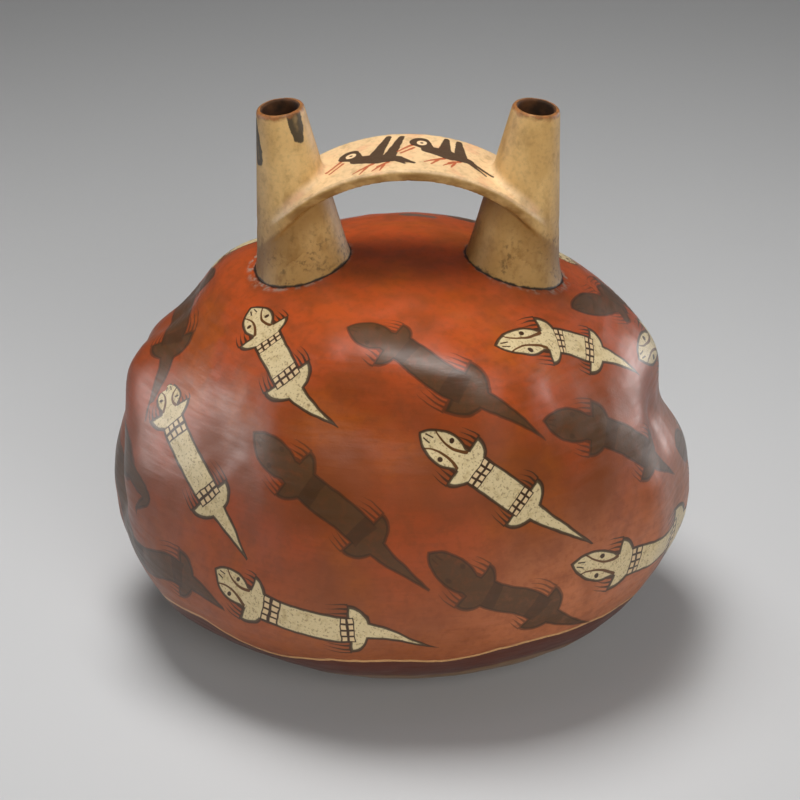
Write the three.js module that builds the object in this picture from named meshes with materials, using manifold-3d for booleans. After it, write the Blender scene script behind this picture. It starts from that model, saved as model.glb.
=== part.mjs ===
// A double spout bottle of fired clay, in millimetres with +Z up.
// The hollow body is knobbly, like a tuber. Two leaning spouts open into it, and a strap bridge joins them.
// The origin is the middle of the flat underside. The spouts stand left and right along X, with the front
// at -Y.
import * as THREE from 'three';
import { mergeVertices } from 'three/addons/utils/BufferGeometryUtils.js';
import Module from 'manifold-3d';

// Body, before its swellings
const GIRTH_WIDTH = 160;
const GIRTH_DEPTH = 150;
const GIRTH_HEIGHT = 48.5;
const CROWN_HEIGHT = 118.5;
const KEEL_DEPTH = 5;
const ROUNDNESS = 2.25;
const BODY_WALL = 4.2;
const FLOOR_THICKNESS = 5.5;

// Spouts, measured along their own leaning axis
const SPOUT_SPACING = 59.6;
const SPOUT_LENGTH = 48.4;
const SPOUT_LEAN = 7.5;
const RIM_DIAMETER = 13.5;
const RIM_WALL = 1.55;
const FOOT_DIAMETER = 27;
const FOOT_WALL = 3.7;
const FLARE = 2.2;
const FLARE_HEIGHT = 5;

// Bridge
const BRIDGE_WIDTH = 25.4;
const BRIDGE_THICKNESS = 3.4;
const BRIDGE_BELOW_RIM = 13.8;
const BRIDGE_RISE = 43;
const BRIDGE_END_MARGIN = 1.5;

// Facets
const SKIN_SEGMENTS = 72;
const HOLLOW_SEGMENTS = 44;
const SPOUT_SEGMENTS = 32;
const ARC_STEPS = 3;
const FLARE_STEPS = 4;
const BRIDGE_STEPS = 28;

// Swellings and hollows pressed into the clay. Each follows a short line on the plain body, between two
// places given as an azimuth in degrees, 0 at the front and positive to the right, and a share of the
// crown's height. Spread and swell are shares of half the girth's width, and a hollow swells inwards.
const SWELLINGS = [
  { name: 'far left lobe', from: [-118, 0.48], to: [-106, 0.38], spread: 0.19, swell: 0.092 },
  { name: 'low left lobe', from: [-88, 0.25], to: [-64, 0.20], spread: 0.18, swell: 0.060 },
  { name: 'groove before the far lobe', from: [-97, 0.60], to: [-86, 0.40], spread: 0.075, swell: -0.055 },
  { name: 'ridge before the groove', from: [-82, 0.68], to: [-72, 0.50], spread: 0.13, swell: 0.055 },
  { name: 'left shoulder', from: [-118, 0.86], to: [-105, 0.90], spread: 0.17, swell: 0.055 },
  { name: 'hollow under the shoulder', from: [-108, 0.79], to: [-98, 0.80], spread: 0.08, swell: -0.025 },
  { name: 'knob under the shoulder', from: [-102, 0.68], to: [-90, 0.68], spread: 0.12, swell: 0.045 },
  { name: 'dent beside the ridge', from: [-45, 0.66], to: [-38, 0.50], spread: 0.13, swell: -0.030 },
  { name: 'brow', from: [-24, 0.90], to: [26, 0.84], spread: 0.12, swell: 0.045 },
  { name: 'hollow under the brow', from: [-16, 0.80], to: [4, 0.77], spread: 0.11, swell: -0.045 },
  { name: 'knob beside that hollow', from: [20, 0.76], to: [24, 0.74], spread: 0.10, swell: 0.020 },
  { name: 'shallow hollow in front', from: [-4, 0.66], to: [2, 0.50], spread: 0.14, swell: -0.020 },
  { name: 'right lobe', from: [104, 0.38], to: [92, 0.30], spread: 0.18, swell: 0.038 },
  { name: 'notch above the right lobe', from: [108, 0.55], to: [76, 0.63], spread: 0.09, swell: -0.060 },
  { name: 'upright fold', from: [62, 0.48], to: [64, 0.36], spread: 0.08, swell: 0.020 },
  { name: 'right shoulder', from: [70, 0.78], to: [88, 0.76], spread: 0.12, swell: 0.022 },
  { name: 'back of the crown', from: [178, 0.93], to: [-172, 0.94], spread: 0.24, swell: 0.010 },
  { name: 'low front lobe', from: [-38, 0.22], to: [-16, 0.20], spread: 0.14, swell: 0.036 },
  { name: 'low right lobe', from: [62, 0.14], to: [48, 0.12], spread: 0.12, swell: 0.010 },
  { name: 'back lobe', from: [150, 0.50], to: [172, 0.62], spread: 0.20, swell: 0.050 },
  { name: 'back groove', from: [-158, 0.66], to: [-146, 0.40], spread: 0.10, swell: -0.045 },
  { name: 'low back lobe', from: [-150, 0.22], to: [-176, 0.28], spread: 0.17, swell: 0.040 },
];

const wasm = await Module();
wasm.setup();

const halfWidth = GIRTH_WIDTH / 2;
const depthShare = GIRTH_DEPTH / GIRTH_WIDTH;
const girthMiddle = new THREE.Vector3(0, 0, GIRTH_HEIGHT);

// How far the plain form reaches up from the girth, or down from it.
function riseTowards(z) {
  return z >= 0 ? CROWN_HEIGHT - GIRTH_HEIGHT : GIRTH_HEIGHT + KEEL_DEPTH;
}

// The plain form's point in a direction from the middle of the girth.
function plainPoint(direction) {
  const across = Math.hypot(direction.x, direction.y) / halfWidth;
  const upright = Math.abs(direction.z) / riseTowards(direction.z);
  const reach = (across ** ROUNDNESS + upright ** ROUNDNESS) ** (-1 / ROUNDNESS);
  const point = direction.clone().multiplyScalar(reach);
  return point.set(point.x, point.y * depthShare, point.z + GIRTH_HEIGHT);
}

// The plain form's half width at a height.
function plainRadius(height) {
  const upright = Math.abs(height - GIRTH_HEIGHT) / riseTowards(height - GIRTH_HEIGHT);
  return halfWidth * (1 - upright ** ROUNDNESS) ** (1 / ROUNDNESS);
}

// The height of the plain form's upper face at a distance from its axis, along X.
function plainHeight(x) {
  const across = Math.abs(x) / halfWidth;
  return GIRTH_HEIGHT + riseTowards(1) * (1 - across ** ROUNDNESS) ** (1 / ROUNDNESS);
}

// A place on the plain form, from its azimuth in degrees and its share of the crown's height.
function placeOnBody([azimuth, share]) {
  const angle = THREE.MathUtils.degToRad(azimuth);
  const height = share * CROWN_HEIGHT;
  const radius = plainRadius(height);
  return new THREE.Vector3(radius * Math.sin(angle), -radius * depthShare * Math.cos(angle), height);
}

const swellings = SWELLINGS.map(({ from, to, spread, swell }) => ({
  line: new THREE.Line3(placeOnBody(from), placeOnBody(to)),
  spread: spread * halfWidth,
  swell: swell * halfWidth,
}));

// How far the swellings and hollows together push a point of the plain form outwards.
function swellAt(point) {
  const nearest = new THREE.Vector3();
  let total = 0;
  for (const { line, spread, swell } of swellings) {
    line.closestPointToPoint(point, true, nearest);
    total += swell * Math.exp(-nearest.distanceToSquared(point) / (2 * spread ** 2));
  }
  return total;
}

// The body's skin as a closed mesh: a sphere whose points move out to the form.
function bodySkin(segments) {
  const sphere = new THREE.SphereGeometry(1, segments, segments / 2).rotateX(Math.PI / 2);
  const skin = sharedVertices(sphere);
  const points = skin.attributes.position;
  const point = new THREE.Vector3();
  for (let i = 0; i < points.count; i++) {
    const plain = plainPoint(point.fromBufferAttribute(points, i).normalize());
    const outwards = plain.clone().sub(girthMiddle).normalize();
    plain.addScaledVector(outwards, swellAt(plain));
    points.setXYZ(i, plain.x, plain.y, plain.z);
  }
  return skin;
}

// Moves every point of a mesh along its normal, inwards by the wall.
function movedInwards(skin, wall) {
  skin.computeVertexNormals();
  const points = skin.attributes.position;
  const normals = skin.attributes.normal;
  for (let i = 0; i < points.count; i++) {
    points.setXYZ(
      i,
      points.getX(i) - wall * normals.getX(i),
      points.getY(i) - wall * normals.getY(i),
      points.getZ(i) - wall * normals.getZ(i),
    );
  }
  return skin;
}

// A copy of a geometry that keeps only positions, with its shared points joined.
function sharedVertices(geometry) {
  const copy = geometry.clone();
  copy.deleteAttribute('normal');
  copy.deleteAttribute('uv');
  return mergeVertices(copy);
}

// A closed geometry as a solid that can be joined and cut.
function toSolid(geometry) {
  const merged = sharedVertices(geometry);
  const vertProperties = Float32Array.from(merged.attributes.position.array);
  const triVerts = Uint32Array.from(merged.index.array);
  return new wasm.Manifold(new wasm.Mesh({ numProp: 3, vertProperties, triVerts }));
}

// A solid as a geometry.
function toGeometry(shape) {
  const mesh = shape.getMesh();
  const geometry = new THREE.BufferGeometry();
  geometry.setAttribute('position', new THREE.BufferAttribute(mesh.vertProperties, 3));
  geometry.setIndex(new THREE.BufferAttribute(mesh.triVerts, 1));
  geometry.computeVertexNormals();
  return geometry;
}

// Everything above a height, wide enough for the whole bottle.
function spaceAbove(height) {
  const reach = 4 * (GIRTH_WIDTH + GIRTH_DEPTH + CROWN_HEIGHT);
  return toSolid(new THREE.BoxGeometry(reach, reach, reach).translate(0, 0, height + reach / 2));
}

function body() {
  return toSolid(bodySkin(SKIN_SEGMENTS)).intersect(spaceAbove(0));
}

function hollow() {
  const inside = toSolid(movedInwards(bodySkin(HOLLOW_SEGMENTS), BODY_WALL));
  return inside.intersect(spaceAbove(FLOOR_THICKNESS));
}

// A quarter of the rounded lip, as profile points from one angle to another about a point.
function lipArc(middleRadius, middleHeight, lipRadius, startAngle, endAngle) {
  const points = [];
  for (let i = 0; i <= ARC_STEPS; i++) {
    const angle = startAngle + (i / ARC_STEPS) * (endAngle - startAngle);
    const radius = middleRadius + lipRadius * Math.cos(angle);
    points.push(new THREE.Vector2(radius, middleHeight + lipRadius * Math.sin(angle)));
  }
  return points;
}

const lipRadius = RIM_WALL / 2;
const lipMiddle = RIM_DIAMETER / 2 - lipRadius;
const spoutRoot = 2 * BODY_WALL;
const footHeight = plainHeight(SPOUT_SPACING / 2);

// A turned profile stood on its foot on the body and leant outwards to one side.
function leaning(profile, side) {
  const turned = new THREE.LatheGeometry(profile, SPOUT_SEGMENTS).rotateX(Math.PI / 2);
  turned.rotateY(side * THREE.MathUtils.degToRad(SPOUT_LEAN));
  turned.translate((side * SPOUT_SPACING) / 2, 0, footHeight);
  return toSolid(turned);
}

// The spout's outer radius at a height along its axis: a straight taper that flares where it meets the body.
function spoutRadius(height) {
  const taper = THREE.MathUtils.lerp(FOOT_DIAMETER / 2, RIM_DIAMETER / 2, height / SPOUT_LENGTH);
  const intoFlare = Math.max(0, FLARE_HEIGHT - height) / (FLARE_HEIGHT + spoutRoot);
  return taper + FLARE * intoFlare ** 2;
}

function spout(side) {
  const profile = [new THREE.Vector2(0, -spoutRoot)];
  for (let i = 0; i <= FLARE_STEPS; i++) {
    const height = THREE.MathUtils.lerp(-spoutRoot, FLARE_HEIGHT, i / FLARE_STEPS);
    profile.push(new THREE.Vector2(spoutRadius(height), height));
  }
  profile.push(...lipArc(lipMiddle, SPOUT_LENGTH - lipRadius, lipRadius, 0, Math.PI / 2));
  profile.push(new THREE.Vector2(0, SPOUT_LENGTH));
  return leaning(profile, side);
}

// The spout's bore, from inside the body out through the lip.
function bore(side) {
  const boreRadius = FOOT_DIAMETER / 2 - FOOT_WALL;
  const start = -2 * spoutRoot;
  const end = SPOUT_LENGTH + RIM_DIAMETER;
  const profile = [
    new THREE.Vector2(0, start),
    new THREE.Vector2(boreRadius, start),
    new THREE.Vector2(boreRadius, 0),
    ...lipArc(lipMiddle, SPOUT_LENGTH - lipRadius, lipRadius, Math.PI, Math.PI / 2),
    new THREE.Vector2(lipMiddle, end),
    new THREE.Vector2(0, end),
  ];
  return leaning(profile, side);
}

// The strap: an arched band, cut to an outline with round ends that wrap the fronts and backs of the spouts.
function bridge() {
  const endMiddle = SPOUT_SPACING / 2;
  const endRadius = BRIDGE_WIDTH / 2;
  const halfSpan = endMiddle + endRadius + BRIDGE_THICKNESS + BRIDGE_END_MARGIN;
  const rimHeight = footHeight + SPOUT_LENGTH * Math.cos(THREE.MathUtils.degToRad(SPOUT_LEAN));
  const archFoot = rimHeight - BRIDGE_BELOW_RIM - BRIDGE_RISE;

  const band = new THREE.Shape();
  band.absellipse(0, 0, halfSpan, BRIDGE_RISE, 0, Math.PI, false, 0);
  band.absellipse(0, 0, halfSpan - BRIDGE_THICKNESS, BRIDGE_RISE - BRIDGE_THICKNESS, Math.PI, 0, true, 0);
  const arch = new THREE.ExtrudeGeometry(band, {
    depth: 2 * BRIDGE_WIDTH,
    bevelEnabled: false,
    curveSegments: BRIDGE_STEPS,
  });
  arch.translate(0, 0, -BRIDGE_WIDTH).rotateX(Math.PI / 2).translate(0, 0, archFoot);

  const outline = new THREE.Shape();
  outline.absarc(endMiddle, 0, endRadius, -Math.PI / 2, Math.PI / 2, false);
  outline.absarc(-endMiddle, 0, endRadius, Math.PI / 2, (3 * Math.PI) / 2, false);
  const prism = new THREE.ExtrudeGeometry(outline, {
    depth: 2 * BRIDGE_RISE,
    bevelEnabled: false,
    curveSegments: SPOUT_SEGMENTS / 2,
  });
  prism.translate(0, 0, archFoot);

  return toSolid(arch).intersect(toSolid(prism));
}

function bottle() {
  let clay = body().add(bridge());
  for (const side of [-1, 1]) {
    clay = clay.add(spout(side));
  }
  clay = clay.subtract(hollow());
  for (const side of [-1, 1]) {
    clay = clay.subtract(bore(side));
  }
  const fired = new THREE.MeshStandardMaterial({ color: 0xb4512c, roughness: 0.42, metalness: 0 });
  const mesh = new THREE.Mesh(toGeometry(clay), fired);
  mesh.name = 'bottle';
  return mesh;
}

const vessel = new THREE.Group();
vessel.name = 'double_spout_vessel';
vessel.add(bottle());

export default vessel;
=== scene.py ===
"""A painted double spout bottle of fired clay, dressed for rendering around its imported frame."""

import logging
import math
from dataclasses import dataclass, field
from enum import Enum

import bmesh
import bpy
import numpy as np
from mathutils import Matrix, Vector, noise
from mathutils.bvhtree import BVHTree
from mathutils.kdtree import KDTree


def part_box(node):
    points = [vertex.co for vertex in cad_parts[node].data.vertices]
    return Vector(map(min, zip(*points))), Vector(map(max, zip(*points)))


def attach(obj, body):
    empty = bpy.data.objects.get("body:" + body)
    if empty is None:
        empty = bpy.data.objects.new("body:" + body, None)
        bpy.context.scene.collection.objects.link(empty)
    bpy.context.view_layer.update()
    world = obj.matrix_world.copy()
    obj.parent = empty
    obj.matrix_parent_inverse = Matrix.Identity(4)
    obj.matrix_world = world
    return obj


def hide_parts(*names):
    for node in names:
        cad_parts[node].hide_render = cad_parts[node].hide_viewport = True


log = logging.getLogger("bottle")
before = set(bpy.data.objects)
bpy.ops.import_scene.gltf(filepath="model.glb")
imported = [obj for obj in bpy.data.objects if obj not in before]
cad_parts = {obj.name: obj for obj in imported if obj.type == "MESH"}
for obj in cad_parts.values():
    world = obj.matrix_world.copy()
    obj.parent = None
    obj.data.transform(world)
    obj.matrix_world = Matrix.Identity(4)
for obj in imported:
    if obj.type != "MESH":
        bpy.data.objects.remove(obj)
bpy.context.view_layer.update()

MM = 0.001
Colour = tuple[float, float, float]


class Amount:
    """A number that varies over the surface, which stands in a sum as a plain number does."""

    def __init__(self, finish: "Finish", socket: bpy.types.NodeSocket) -> None:
        """Wraps a node's output.

        Args:
            finish: The finish that the node belongs to.
            socket: The output.
        """
        self.finish = finish
        self.socket = socket

    def sum(self, operation: str, *others: "Amount | float") -> "Amount":
        """Adds one Math node that works on this amount and others."""
        values = dict(enumerate((self, *others)))
        return self.finish.amount("ShaderNodeMath", {"operation": operation}, values)

    def __add__(self, other: "Amount | float") -> "Amount":
        """This amount plus another."""
        return self.sum("ADD", other)

    __radd__ = __add__

    def __sub__(self, other: "Amount | float") -> "Amount":
        """This amount less another."""
        return self.sum("SUBTRACT", other)

    def __rsub__(self, other: float) -> "Amount":
        """A number less this amount."""
        return self.finish.amount("ShaderNodeMath", {"operation": "SUBTRACT"}, {0: other, 1: self})

    def __mul__(self, other: "Amount | float") -> "Amount":
        """This amount times another."""
        return self.sum("MULTIPLY", other)

    __rmul__ = __mul__

    def __truediv__(self, other: "Amount | float") -> "Amount":
        """This amount divided by another."""
        return self.sum("DIVIDE", other)

    def __abs__(self) -> "Amount":
        """This amount without its sign."""
        return self.sum("ABSOLUTE")

    def least(self, *others: "Amount | float") -> "Amount":
        """The least of this amount and others.

        Args:
            others: The amounts or numbers that it is held against.

        Returns:
            The least of them all.
        """
        result = self
        for other in others:
            result = result.sum("MINIMUM", other)
        return result

    def most(self, *others: "Amount | float") -> "Amount":
        """The most of this amount and others.

        Args:
            others: The amounts or numbers that it is held against.

        Returns:
            The most of them all.
        """
        result = self
        for other in others:
            result = result.sum("MAXIMUM", other)
        return result

    def apart(self, other: "Amount | float") -> "Amount":
        """The length of the side that closes a right angle between this amount and another."""
        return (self * self + other * other).sum("SQRT")

    def fraction(self) -> "Amount":
        """What this amount holds over a whole number."""
        return self.sum("FRACT")

    def rising(self, low: float, high: float) -> "Amount":
        """Zero below one value and one above another, with a soft change between them.

        Args:
            low: The value at and below which the result is zero.
            high: The value at and above which it is one.

        Returns:
            The changing amount.
        """
        settings = {"interpolation_type": "SMOOTHSTEP"}
        sockets = {"Value": self, "From Min": low, "From Max": high}
        return self.finish.amount("ShaderNodeMapRange", settings, sockets)

    def falling(self, low: float, high: float) -> "Amount":
        """One below one value and zero above another, with a soft change between them."""
        return 1 - self.rising(low, high)

    def inside(self, soft: float) -> "Amount":
        """One inside an outline and zero outside it, with an edge that is so soft to each side."""
        return self.falling(-soft, soft)


class Finish:
    """A material's nodes, with which each finish mixes its colours, gloss and relief."""

    relief_strength = 0.6

    def __init__(self, name: str) -> None:
        """Starts a material with a bare shader.

        Args:
            name: The material's name.
        """
        self.material = bpy.data.materials.new(name)
        self.material.use_nodes = True
        self.shader = self.material.node_tree.nodes["Principled BSDF"]
        self.place = self.node("ShaderNodeTexCoord").outputs["Object"]

    def node(
        self, kind: str, settings: dict | None = None, sockets: dict | None = None
    ) -> bpy.types.Node:
        """Adds a node.

        Args:
            kind: The node's type.
            settings: Its properties.
            sockets: Values, amounts or outputs for its inputs, by name or number.

        Returns:
            The node.
        """
        made = self.material.node_tree.nodes.new(kind)
        for setting, value in (settings or {}).items():
            setattr(made, setting, value)
        for key, value in (sockets or {}).items():
            self.feed(made.inputs[key], value)
        return made

    def feed(self, socket: bpy.types.NodeSocket, value: object) -> None:
        """Links an output to an input, or sets the input's value.

        Args:
            socket: The input.
            value: An amount, an output, a colour or a plain value.
        """
        if isinstance(value, Amount):
            value = value.socket
        if isinstance(value, bpy.types.NodeSocket):
            self.material.node_tree.links.new(value, socket)
        elif isinstance(value, tuple) and socket.type == "RGBA":
            socket.default_value = (*value, 1)
        else:
            socket.default_value = value

    def amount(self, kind: str, settings: dict, sockets: dict, output: int | str = 0) -> Amount:
        """Adds a node and wraps one of its outputs."""
        return Amount(self, self.node(kind, settings, sockets).outputs[output])

    def mixed(self, share: Amount | float, under: object, over: object) -> bpy.types.NodeSocket:
        """A colour that goes from one to another as a share goes from 0 to 1."""
        mix = self.node("ShaderNodeMix", {"data_type": "RGBA"}, {0: share, 6: under, 7: over})
        return mix.outputs[2]

    def layered(self, colour: object, *layers: tuple[Amount | float, object]) -> bpy.types.NodeSocket:
        """A colour with others laid over it in turn.

        Args:
            colour: The lowest colour.
            layers: The share that each further layer covers, and its colour.

        Returns:
            The mixed colour.
        """
        for share, over in layers:
            colour = self.mixed(share, colour, over)
        return colour

    def parts(self, vector: bpy.types.NodeSocket) -> list[Amount]:
        """The three numbers of a vector."""
        split = self.node("ShaderNodeSeparateXYZ", {}, {0: vector})
        return [Amount(self, output) for output in split.outputs]

    def millimetres(self, flat: bool = False) -> bpy.types.NodeSocket:
        """The object's own place as a vector in millimetres, as seen from above where it is flat."""
        scale = (1 / MM, 1 / MM, 0 if flat else 1 / MM)
        return self.vectors("MULTIPLY", self.place, scale).outputs["Vector"]

    def coordinates(self) -> list[Amount]:
        """The object's own X, Y and Z, in millimetres."""
        return [part / MM for part in self.parts(self.place)]

    def vectors(self, operation: str, *vectors: object) -> bpy.types.Node:
        """Adds one Vector Math node that works on vectors."""
        return self.node("ShaderNodeVectorMath", {"operation": operation}, dict(enumerate(vectors)))

    def stroke(self, plane: bpy.types.NodeSocket, stroke: "Stroke") -> Amount:
        """How far outside a tapered stroke with round ends a point is.

        Args:
            plane: Where the point is, as a vector in millimetres.
            stroke: The stroke.

        Returns:
            The distance, which is negative inside the stroke.
        """
        start = Vector(stroke.start).to_3d()
        run = Vector(stroke.end).to_3d() - start
        offset = self.vectors("SUBTRACT", plane, tuple(start)).outputs["Vector"]
        reach = self.vectors("DOT_PRODUCT", offset, tuple(run / run.length_squared)).outputs["Value"]
        share = self.amount("ShaderNodeClamp", {}, {"Value": reach})
        scaled = {0: tuple(run), "Scale": share}
        nearest = self.node("ShaderNodeVectorMath", {"operation": "SCALE"}, scaled).outputs["Vector"]
        away = Amount(self, self.vectors("DISTANCE", offset, nearest).outputs["Value"])
        taper = {0: share, 1: stroke.tip - stroke.root, 2: stroke.root}
        return away - self.amount("ShaderNodeMath", {"operation": "MULTIPLY_ADD"}, taper)

    def strokes(self, plane: bpy.types.NodeSocket, strokes: "tuple[Stroke, ...]") -> Amount:
        """How far outside the nearest of several strokes a point is."""
        first, *others = [self.stroke(plane, stroke) for stroke in strokes]
        return first.least(*others)

    def attribute(self, name: str) -> bpy.types.NodeSocket:
        """A vector attribute of the mesh."""
        return self.node("ShaderNodeAttribute", {"attribute_name": name}).outputs["Vector"]

    def number(self, name: str) -> Amount:
        """A number attribute of the mesh."""
        return self.amount("ShaderNodeAttribute", {"attribute_name": name}, {}, "Fac")

    def speckle(self, blobs: "Blobs") -> Amount:
        """Soft noise on the object's own coordinates.

        Args:
            blobs: What it looks like.

        Returns:
            The noise, from 0 to 1 around a half, or within its own limits where it has them.
        """
        scale = tuple(1 / (blobs.size * MM * along) for along in blobs.stretch)
        moved = {"Vector": self.place, "Scale": scale, "Location": (blobs.shift,) * 3}
        placed = self.node("ShaderNodeMapping", {"vector_type": "POINT"}, moved).outputs[0]
        sockets = {"Vector": placed, "Scale": 1.0, "Detail": blobs.detail, "Roughness": blobs.roughness}
        noise_amount = self.amount("ShaderNodeTexNoise", {}, sockets)
        return noise_amount.rising(blobs.low, blobs.high) if blobs.high else noise_amount

    def wander(self, reach: float, blobs: "Blobs") -> Amount:
        """Noise around zero, which makes a painted edge wander.

        Args:
            reach: How far the noise goes from its lowest to its highest, in millimetres.
            blobs: What it looks like.

        Returns:
            The noise.
        """
        return (self.speckle(blobs) - 0.5) * reach

    def relief(self, height: Amount, depth: float) -> None:
        """Gives the shader a bump of a depth in millimetres.

        Args:
            height: The height, from 0 to 1.
            depth: How deep the whole range is, in millimetres.
        """
        sockets = {"Height": height, "Distance": depth * MM, "Strength": self.relief_strength}
        bump = self.node("ShaderNodeBump", {}, sockets)
        self.feed(self.shader.inputs["Normal"], bump.outputs[0])

    def paint(self, colour: object, roughness: Amount | float) -> bpy.types.Material:
        """Feeds the shader its colour and roughness, and returns the finished material.

        Args:
            colour: The colour, plain or mixed.
            roughness: The roughness, from 0 to 1.

        Returns:
            The finished material.
        """
        self.feed(self.shader.inputs["Base Color"], colour)
        self.feed(self.shader.inputs["Roughness"], roughness)
        return self.material


@dataclass(frozen=True)
class Blobs:
    """How soft noise looks.

    Attributes:
        size: The size of its blobs, in millimetres.
        detail: How many finer layers it has.
        shift: Moves the pattern, so that two of a size differ.
        low: The noise at and below which it counts as zero.
        high: The noise at and above which it counts as one, or zero to leave it as it is.
        stretch: How many times longer the blobs are along each axis.
        roughness: How strong the finer layers are.
    """

    size: float
    detail: float = 2
    shift: float = 0
    low: float = 0
    high: float = 0
    stretch: tuple[float, float, float] = (1, 1, 1)
    roughness: float = 0.55


@dataclass(frozen=True)
class Stroke:
    """A brush stroke between two places in millimetres, by its radius at each end."""

    start: tuple[float, ...]
    end: tuple[float, ...]
    root: float
    tip: float


@dataclass(frozen=True)
class LizardDrawing:
    """The lizard that is painted again and again, in millimetres along and across its back.

    The claws', cells' and nostrils' lengths and widths are half ones, out from their middle lines.
    """

    length: float = 58.7
    head_length: float = 17.0
    head_bulge: float = 4.6
    eye_along: float = 8.7
    eye_across: float = 3.0
    pupil: float = 0.75
    eyelid_along: float = 9.0
    eyelid_across: float = 11.3
    eyelid_radius: float = 10.0
    neck: float = 12.0
    neck_width: float = 3.2
    trunk_width: float = 4.25
    front_leg: float = 14.6
    hind_leg: float = 35.5
    leg_depth: float = 5.3
    leg_reach: float = 7.7
    first_belt: float = 19.0
    second_belt: float = 33.2
    belt_width: float = 3.6
    cell_across: float = 2.1
    tail: float = 38.0
    tail_root: float = 40.5
    tail_width: float = 2.9
    line_width: float = 0.85
    claw_length: float = 5.4
    claw_pitch: float = 1.45
    claw_bend: float = 0.03
    claw_first: float = 3.4
    claw_root: float = 0.42
    claw_inner: float = 3.6
    claw_outer: float = 8.6
    cell_length: float = 0.56
    cell_width: float = 0.72
    eyelid_root: float = 0.12
    eyelid_widening: float = 0.028
    nostril_along: float = 2.5
    nostril_across: float = 0.75
    nostril_slant: float = 0.12
    nostril_middle: float = 2.7
    nostril_length: float = 0.9
    nostril_width: float = 0.22

    def leg(self, along: Amount, across: Amount, front: float) -> Amount:
        """How far outside a pair of legs a point is: half an ellipse with a flat front."""
        ellipse = ((along - front) / self.leg_depth).apart(across / self.leg_reach) - 1
        return (ellipse * self.leg_depth).most(front - along)

    def outside(self, along: Amount, across: Amount) -> Amount:
        """How far outside the lizard's outline a point is, or inside where that is negative.

        Args:
            along: Millimetres along the back, from the nose.
            across: Millimetres to the side of the back.

        Returns:
            The distance in millimetres, which is negative inside.
        """
        half_head = self.head_length / 2
        radius = (half_head**2 + self.head_bulge**2) / (2 * self.head_bulge)
        head = (along - half_head).apart(across + (radius - self.head_bulge)) - radius
        widening = (self.trunk_width - self.neck_width) / (self.first_belt - self.neck)
        width = ((along - self.neck) * widening + self.neck_width).least(self.trunk_width)
        trunk = (across - width).most(self.neck - along, along - self.tail)
        narrowing = self.tail_width / (self.length - self.tail)
        tail = (across - (self.length - along) * narrowing).most(self.hind_leg - along)
        legs = self.leg(along, across, self.front_leg).least(self.leg(along, across, self.hind_leg))
        return head.least(trunk, tail, legs)

    def claws(self, along: Amount, across: Amount, front: float) -> Amount:
        """How far outside the thin claws in front of a pair of legs a point is.

        Args:
            along: Millimetres along the back, from the nose.
            across: Millimetres to the side of the back.
            front: Where the legs' flat front is, along the back.

        Returns:
            The distance in millimetres, which is negative inside.
        """
        ahead = front - along
        bent = across + ahead * ahead * self.claw_bend
        stripe = abs(((bent - self.claw_first) / self.claw_pitch).fraction() - 0.5) * self.claw_pitch
        thin = stripe - (1 - ahead / self.claw_length) * self.claw_root
        sides = (self.claw_inner - bent, bent - self.claw_outer)
        return thin.most(0 - ahead, ahead - self.claw_length, *sides)

    def belt(self, along: Amount, across: Amount, start: float) -> tuple[Amount, Amount]:
        """How far outside a belt, and outside the pale cells in it, a point is.

        Args:
            along: Millimetres along the back, from the nose.
            across: Millimetres to the side of the back.
            start: Where the belt starts, along the back.

        Returns:
            Both distances in millimetres, which are negative inside.
        """
        within = along - start
        belt = (0 - within).most(within - self.belt_width)
        pitch = self.belt_width / 2
        column = abs((within / pitch).fraction() - 0.5) * pitch
        row = abs((across / self.cell_across).fraction() - 0.5) * self.cell_across
        cell = (column - self.cell_length).most(row - self.cell_width, belt)
        return belt, cell

    def eyelids(self, along: Amount, across: Amount) -> Amount:
        """How far outside the curved lines a point is that cut the eyes off from the face.

        Args:
            along: Millimetres along the back, from the nose.
            across: Millimetres to the side of the back.

        Returns:
            The distance in millimetres, which is negative inside.
        """
        arc = abs((along - self.eyelid_along).apart(across - self.eyelid_across) - self.eyelid_radius)
        line = arc - along * self.eyelid_widening - self.eyelid_root
        return line.most(along - self.front_leg)

    def pupils(self, along: Amount, across: Amount) -> Amount:
        """How far outside the pupils a point is."""
        return (along - self.eye_along).apart(across - self.eye_across) - self.pupil

    def nostrils(self, along: Amount, across: Amount) -> Amount:
        """How far outside the two short strokes by the nose a point is.

        Args:
            along: Millimetres along the back, from the nose.
            across: Millimetres to the side of the back.

        Returns:
            The distance in millimetres, which is negative inside.
        """
        sideways = across - self.nostril_across - (along - self.nostril_along) * self.nostril_slant
        lengthways = abs(along - self.nostril_middle) - self.nostril_length
        return abs(sideways).most(lengthways) - self.nostril_width


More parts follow.
